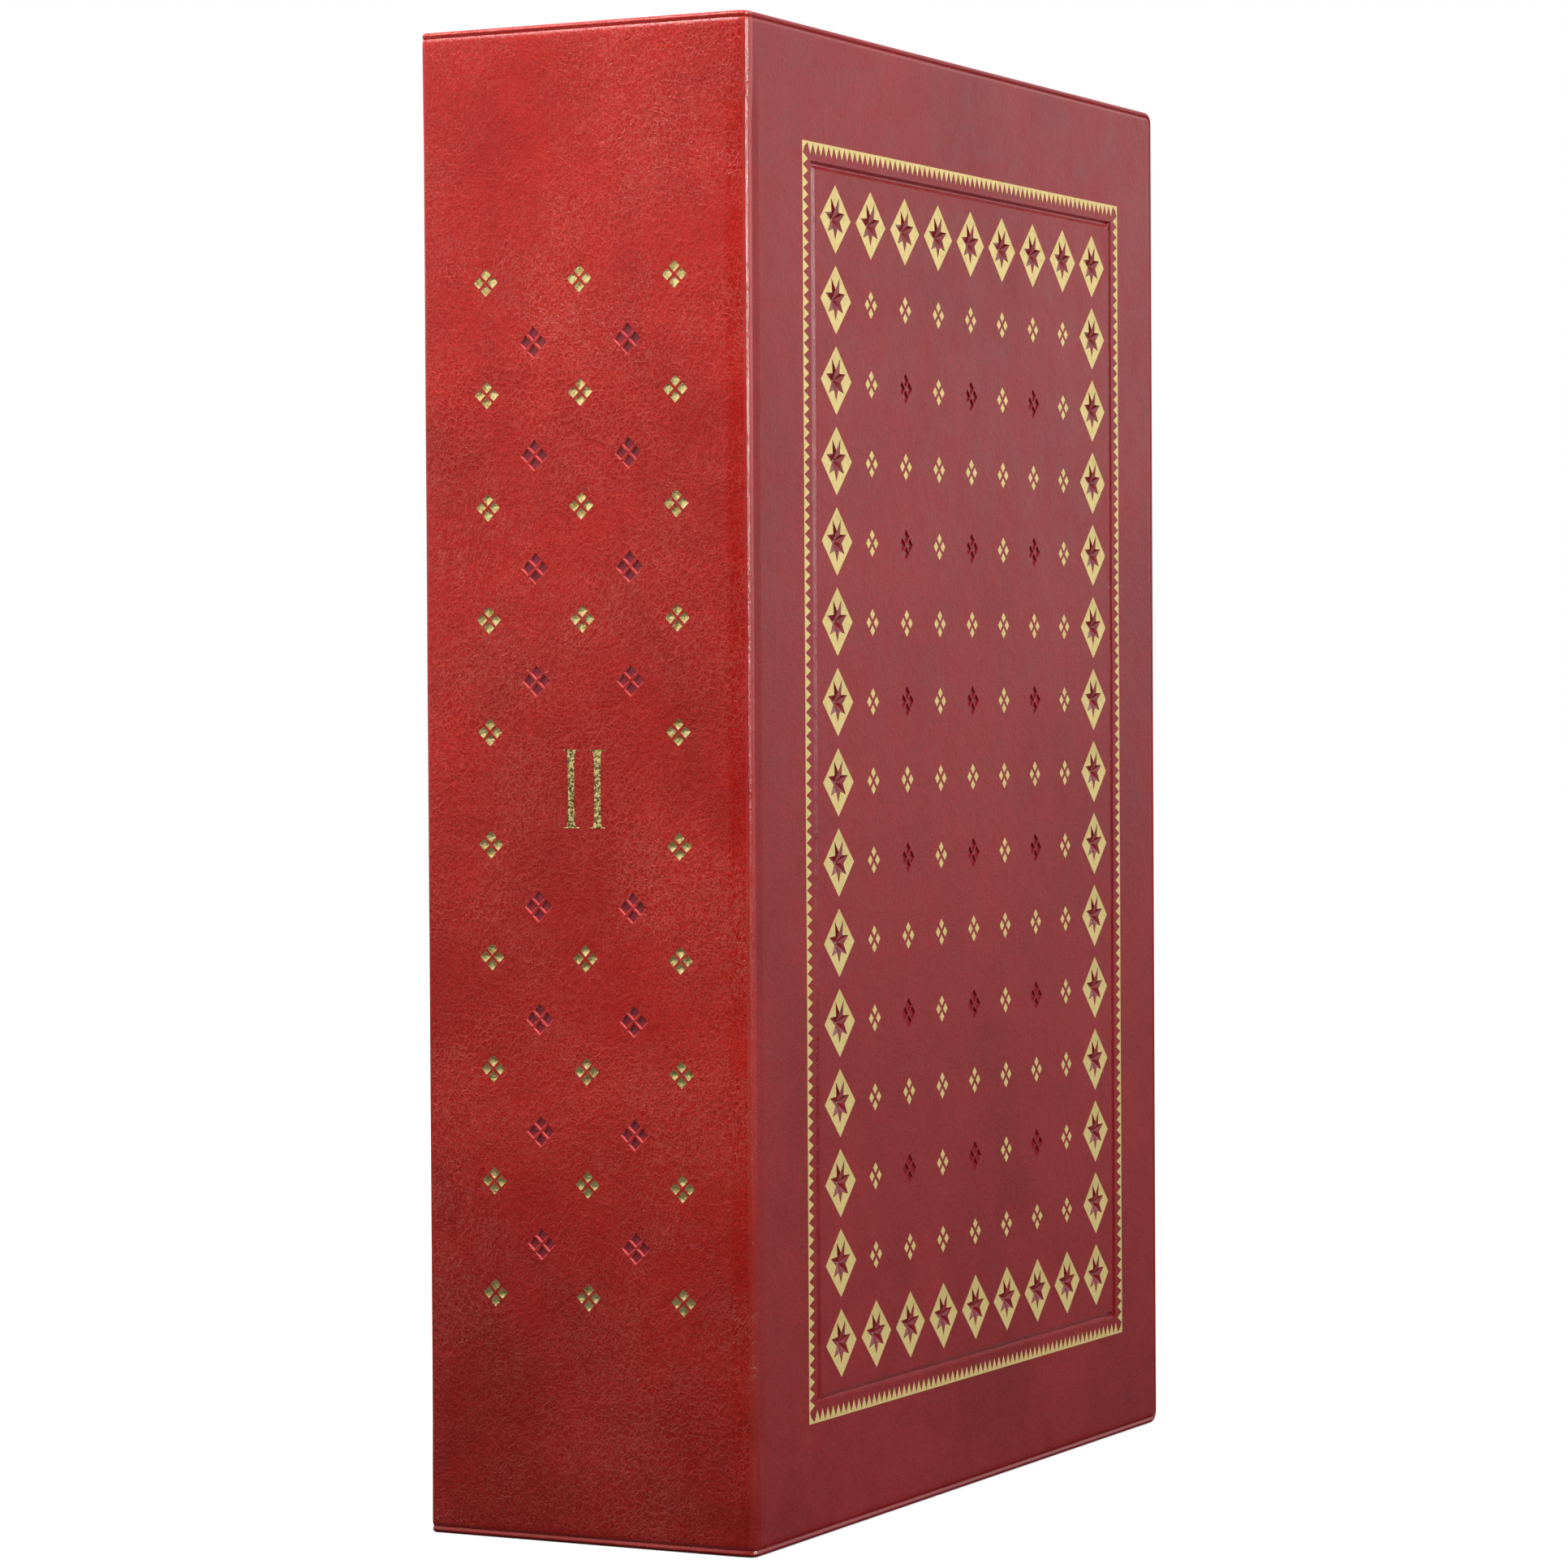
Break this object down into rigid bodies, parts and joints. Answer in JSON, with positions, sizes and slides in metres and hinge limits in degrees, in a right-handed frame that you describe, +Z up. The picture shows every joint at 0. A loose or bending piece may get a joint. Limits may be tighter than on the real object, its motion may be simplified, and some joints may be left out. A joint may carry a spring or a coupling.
{
  "type": "stamp album",
  "caption": "Leather-covered ring album with tooled boards, a square spine on leather hinges, a lever-opened ring mechanism and turning leaves with clear mounts.",
  "frame": {"origin": "middle of the bottom of the closed album, on the surface that it stands on", "axes": "+Z up along the height, +Y from the spine to the fore edge, +X through the thickness towards the front cover"},
  "size_m": [0.0804, 0.222, 0.33],
  "materials": {
    "red_leather": "satin",
    "grey_board": "matte",
    "lining_paper": "matte",
    "steel_plate": "satin",
    "nickel_wire": "polished",
    "spring_steel": "satin",
    "leaf_card": "matte",
    "clear_film": "gloss"
  },
  "bodies": {
    "back_cover": {"back_board": "grey_board", "back_leather": "red_leather", "back_lining": "lining_paper", "base_plate": "steel_plate", "plate_screws": "steel_plate", "ring_posts": "nickel_wire", "bar_bearings": "steel_plate", "bar_spring": "spring_steel", "lever_lugs": "steel_plate", "lever_pins": "nickel_wire", "leaf_stack": "leaf_card"},
    "spine": {"spine_board": "grey_board", "spine_leather": "red_leather", "spine_lining": "lining_paper", "front_joint_leather": "red_leather", "back_joint_leather": "red_leather"},
    "front_cover": {"front_board": "grey_board", "front_leather": "red_leather", "front_lining": "lining_paper"},
    "ring_bar": {"turn_bar": "nickel_wire", "ring_arms": "nickel_wire", "bar_cranks": "nickel_wire"},
    "head_lever": {"head_lever": "nickel_wire"},
    "tail_lever": {"tail_lever": "nickel_wire"},
    "title_leaf": {"title_leaf": "leaf_card"},
    "stamp_leaf_1": {"stamp_leaf_1": "leaf_card", "stamp_mounts_1": "clear_film"},
    "stamp_leaf_2": {"stamp_leaf_2": "leaf_card", "stamp_mounts_2": "clear_film"},
    "stamp_leaf_3": {"stamp_leaf_3": "leaf_card", "stamp_mounts_3": "clear_film"},
    "stamp_leaf_4": {"stamp_leaf_4": "leaf_card", "stamp_mounts_4": "clear_film"}
  },
  "joints": [
    {"name": "spine_hinge", "type": "hinge", "parent": "back_cover", "child": "spine", "pos_m": [-0.03765, -0.1084, 0.165], "axis": [0, 0, -1], "range_deg": [0, 90]},
    {"name": "cover_hinge", "type": "hinge", "parent": "spine", "child": "front_cover", "pos_m": [0.03765, -0.1084, 0.165], "axis": [0, 0, -1], "range_deg": [0, 120]},
    {"name": "ring_opening", "type": "hinge", "parent": "back_cover", "child": "ring_bar", "pos_m": [-0.02895, -0.095, 0.165], "axis": [0, 0, -1], "range_deg": [0, 9], "stiffness_Nm_per_rad": 1, "springref_deg": -11.46},
    {"name": "head_lever_pivot", "type": "hinge", "parent": "back_cover", "child": "head_lever", "pos_m": [-0.03165, -0.08625, 0.3035], "axis": [0, -1, 0], "range_deg": [0, 18]},
    {"name": "tail_lever_pivot", "type": "hinge", "parent": "back_cover", "child": "tail_lever", "pos_m": [-0.03165, -0.08625, 0.0265], "axis": [0, 1, 0], "range_deg": [0, 18]},
    {"name": "title_leaf_turn", "type": "hinge", "parent": "back_cover", "child": "title_leaf", "pos_m": [0.02, -0.084, 0.165], "axis": [0, 0, -1], "range_deg": [0, 102]},
    {"name": "stamp_leaf_1_turn", "type": "hinge", "parent": "back_cover", "child": "stamp_leaf_1", "pos_m": [0.02, -0.084, 0.165], "axis": [0, 0, -1], "range_deg": [0, 82]},
    {"name": "stamp_leaf_2_turn", "type": "hinge", "parent": "back_cover", "child": "stamp_leaf_2", "pos_m": [0.02, -0.084, 0.165], "axis": [0, 0, -1], "range_deg": [0, 62]},
    {"name": "stamp_leaf_3_turn", "type": "hinge", "parent": "back_cover", "child": "stamp_leaf_3", "pos_m": [0.02, -0.084, 0.165], "axis": [0, 0, -1], "range_deg": [0, 41]},
    {"name": "stamp_leaf_4_turn", "type": "hinge", "parent": "back_cover", "child": "stamp_leaf_4", "pos_m": [0.02, -0.084, 0.165], "axis": [0, 0, -1], "range_deg": [0, 21]}
  ],
  "couplings": [
    {"joint": "head_lever_pivot", "follows": "ring_opening", "ratio": 2},
    {"joint": "tail_lever_pivot", "follows": "ring_opening", "ratio": 2},
    {"joint": "title_leaf_turn", "follows": "cover_hinge", "ratio": 0.85},
    {"joint": "stamp_leaf_1_turn", "follows": "cover_hinge", "ratio": 0.68},
    {"joint": "stamp_leaf_2_turn", "follows": "cover_hinge", "ratio": 0.51},
    {"joint": "stamp_leaf_3_turn", "follows": "cover_hinge", "ratio": 0.34},
    {"joint": "stamp_leaf_4_turn", "follows": "cover_hinge", "ratio": 0.17}
  ]
}
